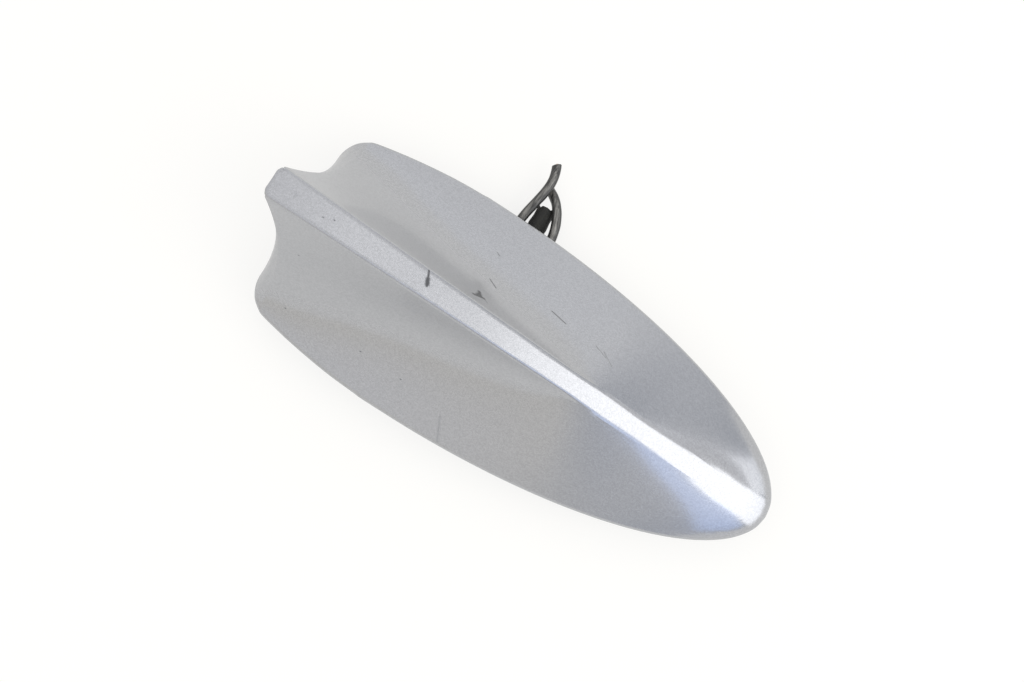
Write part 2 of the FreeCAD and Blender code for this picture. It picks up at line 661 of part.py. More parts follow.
patch_pad = square_with_bore("gps_patch_pad", BOARD_TOP, "sizes.patch_pad_thickness")
PATCH_TOP = f"({BOARD_TOP} + sizes.patch_pad_thickness + sizes.patch_thickness)"
patch = square_with_bore("gps_patch", f"{BOARD_TOP} + sizes.patch_pad_thickness", "sizes.patch_thickness")
PIN_LENGTH = ("sizes.feed_pin_tail + sizes.board_thickness + sizes.patch_pad_thickness"
              " + sizes.patch_thickness")
feed_pin = joined("gps_feed_pin", [
    cylinder("feed_pin_head", "sizes.feed_pin_head", "sizes.feed_pin_head_height",
             "sizes.gps_place", "0", PATCH_TOP),
    cylinder("feed_pin_shank", "sizes.feed_pin_diameter", PIN_LENGTH, "sizes.gps_place", "0",
             f"{PATCH_TOP} - ({PIN_LENGTH})"),
])

# Holder with two ears and a slot, its screws and the upright aerial board

SLOT_FLOOR = f"({BASE_TOP} + sizes.holder_height - sizes.holder_slot_depth)"
holder = body_at("phone_board_holder", HOLDER_MIDDLE, "0", BASE_TOP)
ears = sketch(holder, "holder_ears")
rectangle(ears, "sizes.holder_ear_length", "sizes.holder_width + 2 * sizes.holder_ear_reach")
pad(holder, ears, "sizes.holder_ear_thickness")
block = sketch(holder, "holder_block")
rectangle(block, HOLDER_LENGTH, "sizes.holder_width")
pad(holder, block, "sizes.holder_height")
slot = sketch(holder, "holder_slot")
TONGUE_LENGTH = f"({HOLDER_LENGTH} - 2 * sizes.aerial_tongue_margin)"
rectangle(slot, f"{TONGUE_LENGTH} + 2 * sizes.board_clearance",
          "sizes.board_thickness + 2 * sizes.board_clearance")
bind(slot, AttachmentOffset__Base__z="sizes.holder_height - sizes.holder_slot_depth")
pocket(holder, slot, "sizes.holder_slot_depth")
ear_holes = sketch(holder, "holder_ear_holes")
for sign in (1, -1):
    ear_holes.addGeometry(Part.Circle(Vector(0, 9 * sign, 0), Vector(0, 0, 1), 1))
ear_holes.addConstraint(Sketcher.Constraint("PointOnObject", 0, 3, -2))
ear_holes.addConstraint(Sketcher.Constraint("Symmetric", 0, 3, 1, 3, -1, 1))
ear_holes.addConstraint(Sketcher.Constraint("Equal", 0, 1))
dimension(ear_holes, HOLDER_SCREW_Y, "DistanceY", -1, 1, 0, 3, 9)
dimension(ear_holes, HOLDER_BORE, "Diameter", 0, 2)
pocket(holder, ear_holes)

EAR_TOP = f"({BASE_TOP} + sizes.holder_ear_thickness)"
holder_screws = group("holder_screws", [
    joined(f"holder_screw_{i}", [
        cylinder(f"holder_screw_head_{i}", "sizes.holder_screw_head", "sizes.holder_screw_head_height",
                 HOLDER_MIDDLE, f"{sign} * {HOLDER_SCREW_Y}", EAR_TOP),
        cylinder(f"holder_screw_shank_{i}", "sizes.holder_screw_diameter", "sizes.holder_screw_length",
                 HOLDER_MIDDLE, f"{sign} * {HOLDER_SCREW_Y}", f"{EAR_TOP} - sizes.holder_screw_length"),
    ]) for i, sign in enumerate((1, -1))
])

holder_front_x = size("shaft_front") - size("shaft_length") - size("holder_shaft_gap")
holder_rear_x = tail_x + size("holder_tail_gap")
aerial_front_x = holder_front_x - size("aerial_tongue_margin") + size("aerial_front")
aerial_rear_x = holder_rear_x + size("aerial_tongue_margin") - size("aerial_rear")


def aerial_top(x):
    """Returns the height to which the aerial board reaches under the crest."""
    return Form(size("cover_wall")).crest_height(x) - size("aerial_top_gap")


aerial = body_at("phone_board", HOLDER_MIDDLE, "0", SLOT_FLOOR)
outline = sketch(aerial, "phone_board_outline", "XZ_Plane")
lines(outline, [(-11, 0), (11, 0), (11, 7), (16, 7), (16, 30), (-16, 41), (-16, 7), (-11, 7)])
for index in (0, 2, 6):
    outline.addConstraint(Sketcher.Constraint("Horizontal", index))
for index in (1, 3, 5, 7):
    outline.addConstraint(Sketcher.Constraint("Vertical", index))
outline.addConstraint(Sketcher.Constraint("Symmetric", 0, 1, 0, 2, -1, 1))
dimension(outline, TONGUE_LENGTH, "Distance", 0, 22)
dimension(outline, f"sizes.aerial_shoulder - {SLOT_FLOOR}", "DistanceY", 1, 1, 1, 2, 7)
dimension(outline, f"sizes.aerial_shoulder - {SLOT_FLOOR}", "DistanceY", 7, 2, 7, 1, 7)
dimension(outline, "sizes.aerial_front", "DistanceX", 2, 1, 2, 2, 5)
dimension(outline, "sizes.aerial_rear", "DistanceX", 6, 1, 6, 2, 5)
dimension(outline, f"{aerial_top(aerial_front_x)} - sizes.aerial_shoulder", "DistanceY", 3, 1, 3, 2, 23)
dimension(outline, f"{aerial_top(aerial_rear_x)} - sizes.aerial_shoulder", "DistanceY", 5, 2, 5, 1, 34)
pad(aerial, outline, "sizes.board_thickness", middle=True)

# Grommet in the window of the spigot

grommet_block = box(
    "grommet_block", "sizes.shaft_length - 2 * sizes.grommet_clearance", "sizes.window_wall",
    "sizes.window_height - sizes.grommet_clearance", f"{SHAFT_REAR} + sizes.grommet_clearance",
    WINDOW_INSIDE, SHAFT_FLOOR)


def passage(name, diameter, x):
    """Adds the tool for one passage through the grommet, along Y."""
    tool = bind(document.addObject("Part::Cylinder", name),
                Radius=f"({diameter}) / 2 + sizes.lead_clearance", Height="sizes.window_wall")
    tool.Placement = FreeCAD.Placement(Vector(), FreeCAD.Rotation(Vector(1, 0, 0), -90))
    return place(tool, x, WINDOW_INSIDE, "sizes.lead_level")


passages = joined("grommet_passages", [
    passage("passage_phone", "sizes.lead_diameter", "sizes.lead_middle - sizes.lead_pitch"),
    passage("passage_sheath", "sizes.sheath_diameter", "sizes.lead_middle"),
    passage("passage_gps", "sizes.lead_diameter", "sizes.lead_middle + sizes.lead_pitch"),
])
grommet = cut("lead_grommet", grommet_block, passages)

# Leads: each free stub begins at the grommet's inner face, where the inner lead ends

lead_size = size("lead_diameter")
level = size("lead_level")
inside_y = size("spigot_far") - size("window_wall")
phone_x = size("lead_middle") - size("lead_pitch")
sheath_x = size("lead_middle")
gps_x = size("lead_middle") + size("lead_pitch")

phone_stub = lead("phone_lead_stub", [
    (phone_x, inside_y, level), (phone_x, 17, level), (-18.9, 28.5, -5), (-18.7, 36, -4.6),
    (-17.8, 40.5, -4.1), (-17, 44.4, -3.9), (-16.8, 48, -4), (-17.3, 51.2, -4.6), (-18.4, 53.8, -5.4),
], lead_size)
gps_stub = lead("gps_lead_stub", [
    (gps_x, inside_y, level), (gps_x, 15.5, level), (-7.6, 25, -5), (-7.7, 33, -4.6), (-8.8, 38.4, -3.9),
    (-11, 42.4, -3.7), (-13.4, 45.4, -5.4), (-16.9, 47.4, -8.1),
], lead_size)
sheath_stub = lead("sheathed_lead_stub", [
    (sheath_x, inside_y, level), (sheath_x, 17, level), (-13.5, 29.5, -6.8), (-13.9, 41.7, -7.15),
], size("sheath_diameter"))

beside_board = -(size("board_thickness") / 2 + lead_size / 2 + size("lead_clearance"))
lead_side = size("gps_lead_side")
gps_board_top = base_top + size("gps_post_height") + size("board_thickness")
on_gps_board = gps_board_top + lead_size / 2 + size("lead_clearance")
gps_board_rear = size("gps_place") - size("gps_board_length") / 2
gps_inner = lead("gps_lead_inner", [
    (gps_x, inside_y, level), (gps_x, lead_side, level), (gps_x, lead_side, on_gps_board),
    (gps_board_rear + size("gps_lead_reach"), lead_side, on_gps_board),
], lead_size)


def aerial_lead(name, x, height):
    """Adds an inner lead that climbs the shaft and runs along the aerial board at a height."""
    return lead(name, [
        (x, inside_y, level), (x, beside_board, level), (x, beside_board, height),
        (holder_front_x - size("aerial_lead_reach"), beside_board, height),
    ], lead_size)


phone_inner = aerial_lead("phone_lead_inner", phone_x, size("phone_lead_height"))
sheath_inner = aerial_lead("sheathed_lead_inner", sheath_x, size("aerial_lead_height"))

document.recompute()

NODES = [
    cover, base, gasket, cover_screws, gps_board, gps_screws, can, patch_pad, patch, feed_pin,
    holder, holder_screws, aerial, grommet, phone_stub, gps_stub, sheath_stub,
    gps_inner, phone_inner, sheath_inner,
]
for thing in document.Objects:
    if "Invalid" in thing.State or "Error" in thing.State:
        raise RuntimeError(f"{thing.Name} failed: {thing.State}")
for node in NODES:
    if node.Shape.isNull() or not node.Shape.isValid():
        raise RuntimeError(f"{node.Label} has no valid shape")
os.makedirs("parts", exist_ok=True)
for node in NODES:
    node.Shape.exportStep(f"parts/{node.Label}.step")
    print(node.Label, len(node.Shape.Solids), round(node.Shape.Volume, 1))
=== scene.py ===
"""Looks of a fin-shaped car roof antenna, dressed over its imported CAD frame."""

import json
import logging
import math
from dataclasses import dataclass, replace
from enum import Enum
from typing import Any

import bpy
from mathutils import Matrix, Vector, noise

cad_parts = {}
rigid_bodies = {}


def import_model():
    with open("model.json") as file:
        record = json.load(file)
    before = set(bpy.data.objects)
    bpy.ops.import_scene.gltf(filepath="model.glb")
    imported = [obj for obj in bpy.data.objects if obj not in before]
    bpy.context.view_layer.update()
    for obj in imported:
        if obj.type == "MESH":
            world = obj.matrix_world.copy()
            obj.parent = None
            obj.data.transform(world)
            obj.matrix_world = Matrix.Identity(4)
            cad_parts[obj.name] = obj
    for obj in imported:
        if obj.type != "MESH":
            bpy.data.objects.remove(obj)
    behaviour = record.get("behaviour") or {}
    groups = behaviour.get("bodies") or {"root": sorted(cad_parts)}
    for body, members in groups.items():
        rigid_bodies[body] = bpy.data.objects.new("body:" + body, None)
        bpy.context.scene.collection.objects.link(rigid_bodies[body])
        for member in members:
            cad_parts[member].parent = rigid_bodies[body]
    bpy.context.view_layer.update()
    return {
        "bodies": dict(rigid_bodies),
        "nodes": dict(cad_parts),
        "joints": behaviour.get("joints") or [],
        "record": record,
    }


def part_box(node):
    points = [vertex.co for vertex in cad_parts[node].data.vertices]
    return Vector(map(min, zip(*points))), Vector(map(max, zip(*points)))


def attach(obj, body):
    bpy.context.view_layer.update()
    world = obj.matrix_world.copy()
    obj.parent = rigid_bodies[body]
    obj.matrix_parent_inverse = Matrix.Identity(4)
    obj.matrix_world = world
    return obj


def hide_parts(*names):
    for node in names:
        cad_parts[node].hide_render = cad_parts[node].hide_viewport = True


MM = 0.001
BODY = "root"
Point = tuple[float, float, float]
log = logging.getLogger("roof_antenna")

# A colour mix node names its sockets alike for numbers, vectors and colours, so they go by number.
MIX_SHARE = 0
MIX_FIRST = 6
MIX_SECOND = 7
MIX_RESULT = 2

# How many finer layers each kind of noise has.
WAVE_DETAIL = 1.0
EDGE_DETAIL = 2.0
GRAIN_DETAIL = 3.0
CLOUD_DETAIL = 4.0


def linear(hex_colour: str) -> tuple[float, float, float, float]:
    """Turns an sRGB hex colour to linear light.

    Args:
        hex_colour: Six hex digits, such as "b4b6b8".

    Returns:
        Red, green, blue and a full alpha.
    """
    shares = [int(hex_colour[start:start + 2], 16) / 255 for start in (0, 2, 4)]
    light = [share / 12.92 if share <= 0.04045 else ((share + 0.055) / 1.055) ** 2.4 for share in shares]
    return (light[0], light[1], light[2], 1.0)


def add_node(tree: bpy.types.NodeTree, kind: str, settings: dict[str, Any] | None = None,
             sockets: dict[Any, Any] | None = None) -> bpy.types.Node:
    """Adds a node, sets it up and links it.

    Args:
        tree: The node tree that gets the node.
        kind: The node's type name.
        settings: Properties of the node, by name.
        sockets: Values for its inputs, by name or number. An output socket is linked, other values are set.

    Returns:
        The new node.
    """
    node = tree.nodes.new(kind)
    for name, value in (settings or {}).items():
        setattr(node, name, value)
    for key, value in (sockets or {}).items():
        socket = node.inputs[key]
        if isinstance(value, bpy.types.NodeSocket):
            tree.links.new(value, socket)
        else:
            socket.default_value = value
    return node


@dataclass(frozen=True)
class Pattern:
    """What a finish hands to its shader; the share of metal only where it changes over the surface."""

    colour: bpy.types.NodeSocket
    roughness: bpy.types.NodeSocket
    height: bpy.types.NodeSocket
    metal: bpy.types.NodeSocket | None = None


@dataclass(frozen=True)
class Finish:
    """A surface finish: two colours in soft patches, and a fine grain in its gloss and height."""

    name: str
    colour: str
    patch_colour: str
    metallic: float = 0.0
    roughness: float = 0.5
    ior: float = 1.5
    grain_mm: float = 0.4
    grain_depth_mm: float = 0.02
    patch_mm: float = 8.0
    patch_from: float = 0.38
    patch_to: float = 0.66
    patch_share: float = 0.6
    gloss_spread: float = 0.18

    def build(self) -> bpy.types.Material:
        """Builds the material from its pattern and its constants.

        Returns:
            The new material.
        """
        material = bpy.data.materials.new(self.name)
        material.use_nodes = True
        tree = material.node_tree
        shader = tree.nodes["Principled BSDF"]
        place = add_node(tree, "ShaderNodeTexCoord").outputs["Object"]
        shader.inputs["Metallic"].default_value = self.metallic
        shader.inputs["IOR"].default_value = self.ior
        pattern = self.pattern(tree, place)
        bump = add_node(tree, "ShaderNodeBump", sockets={
            "Height": pattern.height, "Strength": 1.0, "Distance": self.grain_depth_mm * MM})
        links = {"Base Color": pattern.colour, "Roughness": pattern.roughness,
                 "Normal": bump.outputs["Normal"]}
        if pattern.metal:
            links["Metallic"] = pattern.metal
        for name, socket in links.items():
            tree.links.new(socket, shader.inputs[name])
        self.add_top_coat(tree, place, shader)
        return material

    def pattern(self, tree: bpy.types.NodeTree, place: bpy.types.NodeSocket) -> Pattern:
        """Draws the patches and the grain.

        Args:
            tree: The material's node tree.
            place: The place on the surface, in metres.

        Returns:
            The sockets for the shader.
        """
        grain = self.add_grain(tree, place)
        patch = add_node(tree, "ShaderNodeTexNoise", sockets={
            "Vector": place, "Scale": 1 / (self.patch_mm * MM), "Detail": CLOUD_DETAIL})
        share = add_node(tree, "ShaderNodeMapRange", sockets={
            "Value": patch.outputs["Fac"], "From Min": self.patch_from, "From Max": self.patch_to,
            "To Max": self.patch_share})
        colour = add_node(tree, "ShaderNodeMix", {"data_type": "RGBA"}, {
            MIX_SHARE: share.outputs["Result"], MIX_FIRST: linear(self.colour),
            MIX_SECOND: linear(self.patch_colour)})
        return Pattern(colour.outputs[MIX_RESULT], self.add_gloss(tree, grain), grain)

    def add_grain(self, tree: bpy.types.NodeTree, place: bpy.types.NodeSocket) -> bpy.types.NodeSocket:
        """Adds the fine grain of the surface.

        Args:
            tree: The material's node tree.
            place: The place on the surface, in metres.

        Returns:
            The grain's height from 0 to 1.
        """
        grain = add_node(tree, "ShaderNodeTexNoise", sockets={
            "Vector": place, "Scale": 1 / (self.grain_mm * MM), "Detail": GRAIN_DETAIL})
        return grain.outputs["Fac"]

    def add_gloss(self, tree: bpy.types.NodeTree, cause: bpy.types.NodeSocket) -> bpy.types.NodeSocket:
        """Lets the roughness follow a pattern.

        Args:
            tree: The material's node tree.
            cause: A pattern from 0 to 1.

        Returns:
            The roughness.
        """
        gloss = add_node(tree, "ShaderNodeMapRange", sockets={
            "Value": cause, "To Min": self.roughness * (1 - self.gloss_spread),
            "To Max": self.roughness * (1 + self.gloss_spread)})
        return gloss.outputs["Result"]

    def add_by_slope(self, tree: bpy.types.NodeTree, steep: float, level: float, on_steep: float,
                     on_level: float) -> bpy.types.NodeSocket:
        """Adds a value that changes with the slope of the surface.

        Args:
            tree: The material's node tree.
            steep: The upward part of the surface's direction where it counts as steep.
            level: The same where it counts as level.
            on_steep: The value on steep places.
            on_level: The value on level places.

        Returns:
            The value.
        """
        facing = add_node(tree, "ShaderNodeSeparateXYZ", sockets={
            0: add_node(tree, "ShaderNodeNewGeometry").outputs["Normal"]})
        value = add_node(tree, "ShaderNodeMapRange", sockets={
            "Value": facing.outputs["Z"], "From Min": steep, "From Max": level, "To Min": on_steep,
            "To Max": on_level})
        return value.outputs["Result"]

    def add_top_coat(self, tree: bpy.types.NodeTree, place: bpy.types.NodeSocket,
                     shader: bpy.types.Node) -> None:
        """Leaves the surface bare; a lacquered finish has its own."""


@dataclass(frozen=True)
class MarkLook:
    """How a kind of mark shows: how dark it is, how soft its edge is and how far that edge wanders."""

    strength: float
    softness: float
    wander: float


class MarkKind(Enum):
    """What happened to the paint; the smear kind also draws painted shade."""

    CHIP = MarkLook(strength=0.92, softness=0.35, wander=0.7)
    SCRATCH = MarkLook(strength=0.72, softness=0.7, wander=0.35)
    HAIRLINE = MarkLook(strength=0.5, softness=0.8, wander=0.3)
    SMEAR = MarkLook(strength=0.3, softness=0.95, wander=0.8)


@dataclass(frozen=True)
class PaintMark:
    """One mark on the paint, from start to end with a width, in millimetres."""

    kind: MarkKind
    width: float
    start: Point
    end: Point

    def mask(self, tree: bpy.types.NodeTree, place: bpy.types.NodeSocket,
             wander: bpy.types.NodeSocket) -> bpy.types.NodeSocket:
        """Draws the mark as all that lies close to its line.

        Args:
            tree: The material's node tree.
            place: The place on the surface, in metres.
            wander: A ragged pattern from 0 to 1, which roughens the mark's edge.

        Returns:
            How much of the mark shows, from 0 to its kind's strength.
        """
        look = self.kind.value
        run = (Vector(self.end) - Vector(self.start)) * MM
        half = self.width / 2 * MM
        offset = add_node(tree, "ShaderNodeVectorMath", {"operation": "SUBTRACT"}, {
            0: place, 1: Vector(self.start) * MM})
        along = add_node(tree, "ShaderNodeVectorMath", {"operation": "DOT_PRODUCT"}, {
            0: offset.outputs["Vector"], 1: run / run.length_squared})
        held = add_node(tree, "ShaderNodeClamp", sockets={"Value": along.outputs["Value"]})
        nearest = add_node(tree, "ShaderNodeVectorMath", {"operation": "SCALE"}, {
            0: run, "Scale": held.outputs["Result"]})
        away = add_node(tree, "ShaderNodeVectorMath", {"operation": "DISTANCE"}, {
            0: offset.outputs["Vector"], 1: nearest.outputs["Vector"]})
        ragged = add_node(tree, "ShaderNodeMath", {"operation": "MULTIPLY_ADD"}, {
            0: wander, 1: look.wander * half, 2: away.outputs["Value"]})
        shown = add_node(tree, "ShaderNodeMapRange", sockets={
            "Value": ragged.outputs["Value"], "From Min": half * (1 + look.wander / 2),
            "From Max": half * (1 - look.softness), "To Max": look.strength})
        return shown.outputs["Result"]


@dataclass(frozen=True)
class SilverPaint(Finish):
    """Sprayed silver metallic paint under clear lacquer: aluminium flakes glint in a soft grey sheen."""

    marks: tuple[PaintMark, ...] = ()
    # Real flakes are some 0.03 mm wide and would not show, so they are drawn ten times as wide. Each has a
    # shade between the two colours of the finish.
    flake_mm: float = 0.34
    primer: str = "333335"
    primer_roughness: float = 0.7
    lacquer: float = 0.35
    lacquer_roughness: float = 0.06
    # Spray lands at a slant on the steep walls and dries rougher there, by this factor. Steep and level are
    # the upward part of the surface's direction.
    dry_spray: float = 1.9
    steep: float = 0.35
    level: float = 0.7
    peel_mm: float = 2.4
    peel_depth_mm: float = 0.003
    edge_mm: float = 0.45

    def pattern(self, tree: bpy.types.NodeTree, place: bpy.types.NodeSocket) -> Pattern:
        """Draws the flakes, a cloudy gloss and the marks down to the primer.

        Args:
            tree: The material's node tree.
            place: The place on the surface, in metres.

        Returns:
            The sockets for the shader.
        """
        flakes = add_node(tree, "ShaderNodeTexVoronoi", sockets={
            "Vector": place, "Scale": 1 / (self.flake_mm * MM)})
        tilt = add_node(tree, "ShaderNodeSeparateColor", sockets={"Color": flakes.outputs["Color"]})
        paint = add_node(tree, "ShaderNodeMix", {"data_type": "RGBA"}, {
            MIX_SHARE: tilt.outputs["Red"], MIX_FIRST: linear(self.colour),
            MIX_SECOND: linear(self.patch_colour)})
        cloud = add_node(tree, "ShaderNodeTexNoise", sockets={
            "Vector": place, "Scale": 1 / (self.patch_mm * MM), "Detail": CLOUD_DETAIL})
        spray = self.add_by_slope(tree, self.steep, self.level, self.dry_spray, 1.0)
        gloss = add_node(tree, "ShaderNodeMath", {"operation": "MULTIPLY"}, {
            0: self.add_gloss(tree, cloud.outputs["Fac"]), 1: spray})
        # The marks of wear, and the painted shade by the leads, turn the paint towards the primer.
        bare = self.wear_and_shade_share(tree, place)
        colour = add_node(tree, "ShaderNodeMix", {"data_type": "RGBA"}, {
            MIX_SHARE: bare, MIX_FIRST: paint.outputs[MIX_RESULT], MIX_SECOND: linear(self.primer)})
        rough = add_node(tree, "ShaderNodeMix", sockets={
            "Factor": bare, "A": gloss.outputs["Value"], "B": self.primer_roughness})
        metal = add_node(tree, "ShaderNodeMapRange", sockets={
            "Value": bare, "To Min": self.metallic, "To Max": 0.0})
        return Pattern(colour.outputs[MIX_RESULT], rough.outputs["Result"], self.add_grain(tree, place),
                       metal.outputs["Result"])

    def wear_and_shade_share(self, tree: bpy.types.NodeTree, place: bpy.types.NodeSocket) -> bpy.types.NodeSocket:
        """Joins the marks of wear and the painted shade by the leads.

        Args:
            tree: The material's node tree.
            place: The place on the surface, in metres.

        Returns:
            How far the marks of wear cut through the paint, and how dark the painted shade is, from 0 to 1.
        """
        edge = add_node(tree, "ShaderNodeTexNoise", sockets={
            "Vector": place, "Scale": 1 / (self.edge_mm * MM), "Detail": EDGE_DETAIL})
        masks = [mark.mask(tree, place, edge.outputs["Fac"]) for mark in self.marks]
        joined = masks[0]
        for mask in masks[1:]:
            darker = add_node(tree, "ShaderNodeMath", {"operation": "MAXIMUM"}, {0: joined, 1: mask})
            joined = darker.outputs["Value"]
        return joined

    def add_top_coat(self, tree: bpy.types.NodeTree, place: bpy.types.NodeSocket,
                     shader: bpy.types.Node) -> None:
        """Adds the clear lacquer, with the faint waves that spraying leaves.

        Args:
            tree: The material's node tree.
            place: The place on the surface, in metres.
            shader: The material's shader.
        """
        peel = add_node(tree, "ShaderNodeTexNoise", sockets={
            "Vector": place, "Scale": 1 / (self.peel_mm * MM), "Detail": WAVE_DETAIL})
        waves = add_node(tree, "ShaderNodeBump", sockets={
            "Height": peel.outputs["Fac"], "Strength": 1.0, "Distance": self.peel_depth_mm * MM})
        shader.inputs["Coat Weight"].default_value = self.lacquer
        shader.inputs["Coat Roughness"].default_value = self.lacquer_roughness
        tree.links.new(waves.outputs["Normal"], shader.inputs["Coat Normal"])


@dataclass(frozen=True)
class PaintedSheenJacket(Finish):
    """A lead's jacket with a painted highlight: pale streaks along its upper side."""

    streak_mm: float = 0.8
    streak_length: float = 9.0
    highlight_from: float = 0.4
    highlight_to: float = 0.64
    # The upward part of the jacket's direction where its sides end and where its top begins.
    side: float = 0.66
    top: float = 0.98
    # How far the lead turns from Y, in degrees.
    turn: float = 0.0

    def pattern(self, tree: bpy.types.NodeTree, place: bpy.types.NodeSocket) -> Pattern:
        """Draws the painted highlight as streaks along the top of the lead.

        Args:
            tree: The material's node tree.
            place: The place on the surface, in metres.

        Returns:
            The sockets for the shader.
        """
        drawn_out = add_node(tree, "ShaderNodeMapping", {"vector_type": "TEXTURE"}, {
            "Vector": place, "Rotation": (0.0, 0.0, math.radians(self.turn)),
            "Scale": (1.0, self.streak_length, 1.0)})
        streak = add_node(tree, "ShaderNodeTexNoise", sockets={
            "Vector": drawn_out.outputs["Vector"], "Scale": 1 / (self.streak_mm * MM),
            "Detail": CLOUD_DETAIL})
        highlight_streaks = add_node(tree, "ShaderNodeMapRange", sockets={
            "Value": streak.outputs["Fac"], "From Min": self.highlight_from, "From Max": self.highlight_to,
            "To Max": self.patch_share})
        # Painted highlight: the pale streaks show only where the jacket faces upward.
        upper = self.add_by_slope(tree, self.side, self.top, 0.0, 1.0)
        top_highlight = add_node(tree, "ShaderNodeMath", {"operation": "MULTIPLY"}, {
            0: highlight_streaks.outputs["Result"], 1: upper})
        colour = add_node(tree, "ShaderNodeMix", {"data_type": "RGBA"}, {
            MIX_SHARE: top_highlight.outputs["Value"], MIX_FIRST: linear(self.colour),
            MIX_SECOND: linear(self.patch_colour)})
        return Pattern(colour.outputs[MIX_RESULT], self.add_gloss(tree, top_highlight.outputs["Value"]),
                       self.add_grain(tree, place))


@dataclass(frozen=True)
class CrystalFinish(Finish):
    """A plated or foamed surface whose cells each take the light a little differently."""

    cell_mm: float = 2.5

    def pattern(self, tree: bpy.types.NodeTree, place: bpy.types.NodeSocket) -> Pattern:
        """Draws the cells.

        Args:
            tree: The material's node tree.
            place: The place on the surface, in metres.

        Returns:
            The sockets for the shader.
        """
        cells = add_node(tree, "ShaderNodeTexVoronoi", sockets={
            "Vector": place, "Scale": 1 / (self.cell_mm * MM)})
        shade = add_node(tree, "ShaderNodeSeparateColor", sockets={"Color": cells.outputs["Color"]})
        colour = add_node(tree, "ShaderNodeMix", {"data_type": "RGBA"}, {
            MIX_SHARE: shade.outputs["Red"], MIX_FIRST: linear(self.colour),
            MIX_SECOND: linear(self.patch_colour)})
        return Pattern(colour.outputs[MIX_RESULT], self.add_gloss(tree, shade.outputs["Green"]),
                       cells.outputs["Distance"])


@dataclass(frozen=True)
class CircuitLaminate(Finish):
    """Glass laminate under green solder mask: the copper tracks below it show as paler, raised lines."""

    track_pitch_mm: float = 1.3
    track_share: float = 0.12
    # Length of a track, shift from row to row and softness of the edge, as shares of the pitch.
    track_length: float = 5.0
    track_shift: float = 0.37
    track_blur: float = 0.1
    # How far the board is turned up about X, in degrees.
    turn: float = 0.0

    def pattern(self, tree: bpy.types.NodeTree, place: bpy.types.NodeSocket) -> Pattern:
        """Draws the tracks.

        Args:
            tree: The material's node tree.
            place: The place on the surface, in metres.

        Returns:
            The sockets for the shader.
        """
        flat = add_node(tree, "ShaderNodeMapping", {"vector_type": "POINT"}, {
            "Vector": place, "Rotation": (math.radians(self.turn), 0.0, 0.0)})
        tracks = add_node(tree, "ShaderNodeTexBrick", {"offset": self.track_shift, "squash": 1.0}, {
            "Vector": flat.outputs["Vector"], "Color1": linear(self.colour), "Color2": linear(self.colour),
            "Mortar": linear(self.patch_colour), "Scale": 1 / (self.track_pitch_mm * MM),
            "Mortar Size": self.track_share, "Mortar Smooth": self.track_blur,
            "Brick Width": self.track_length, "Row Height": 1.0})
        return Pattern(tracks.outputs["Color"], self.add_gloss(tree, self.add_grain(tree, place)),
                       tracks.outputs["Fac"])


@dataclass(frozen=True)
class SilveredCeramic(Finish):
    """Fired ceramic block with a silver film burnt on the top, set in from its edges."""

    silver: str = "d2d0ca"
    # The middle of the film and half its side, in metres.
    middle: Point = (0.0, 0.0, 0.0)
    half_film: float = 1.0
    film_depth_mm: float = 0.15

    def pattern(self, tree: bpy.types.NodeTree, place: bpy.types.NodeSocket) -> Pattern:
        """Draws the speckled ceramic and the silver film on its top.

        Args:
            tree: The material's node tree.
            place: The place on the surface, in metres.

        Returns:
            The sockets for the shader.
        """
        ceramic = super().pattern(tree, place)
        offset = add_node(tree, "ShaderNodeVectorMath", {"operation": "SUBTRACT"}, {
            0: place, 1: self.middle})
        spread = add_node(tree, "ShaderNodeVectorMath", {"operation": "ABSOLUTE"}, {
            0: offset.outputs["Vector"]})
        sides = add_node(tree, "ShaderNodeSeparateXYZ", sockets={0: spread.outputs["Vector"]})
        reach = add_node(tree, "ShaderNodeMath", {"operation": "MAXIMUM"}, {
            0: sides.outputs["X"], 1: sides.outputs["Y"]})
        inside = add_node(tree, "ShaderNodeMath", {"operation": "LESS_THAN"}, {
            0: reach.outputs["Value"], 1: self.half_film})
        on_top = add_node(tree, "ShaderNodeMath", {"operation": "LESS_THAN"}, {
            0: sides.outputs["Z"], 1: self.film_depth_mm * MM})
        film = add_node(tree, "ShaderNodeMath", {"operation": "MULTIPLY"}, {
            0: inside.outputs["Value"], 1: on_top.outputs["Value"]})
        colour = add_node(tree, "ShaderNodeMix", {"data_type": "RGBA"}, {
            MIX_SHARE: film.outputs["Value"], MIX_FIRST: ceramic.colour, MIX_SECOND: linear(self.silver)})
        return Pattern(colour.outputs[MIX_RESULT], ceramic.roughness, ceramic.height, film.outputs["Value"])


# Zinc plate, passivated blue: a cool, slightly cloudy shine.
ZINC_PLATE = Finish("blue_passivated_zinc_plate", "c2c5c9", "aab2bd", metallic=1.0, roughness=0.34,
                    grain_mm=0.25, grain_depth_mm=0.002, patch_mm=1.6)
# Extruded PVC: dark grey with a low sheen, and pale streaks on its upper side that are a painted highlight.
LEAD_PVC = PaintedSheenJacket("extruded_lead_pvc", "2c2c2b", "acaaa4", roughness=0.42, grain_mm=0.3,
                      grain_depth_mm=0.012, patch_share=0.75)
# Woven or felted sleeve, black and dull, with next to no sheen; its upper side is a little paler, as a
# painted highlight.
SLEEVE_FELT = PaintedSheenJacket("black_felted_sleeve", "242423", "3c3c38", roughness=0.92, grain_mm=0.28,
                         grain_depth_mm=0.08, patch_share=0.8, streak_mm=0.7, streak_length=5.0)
# Foamed polythene round the wire: milky, faintly glossy.
LEAD_CORE_FOAM = Finish("foamed_core_polythene", "d8d5cb", "c2bdaf", roughness=0.45, grain_mm=0.15,
                        grain_depth_mm=0.006, patch_mm=0.8)
# Drawn copper, cut across: bright where the cutters went through, browner beside.
CUT_COPPER = Finish("drawn_copper_wire", "c98a63", "9a5c3e", metallic=1.0, roughness=0.3, grain_mm=0.1,
                    grain_depth_mm=0.004, patch_mm=0.4)


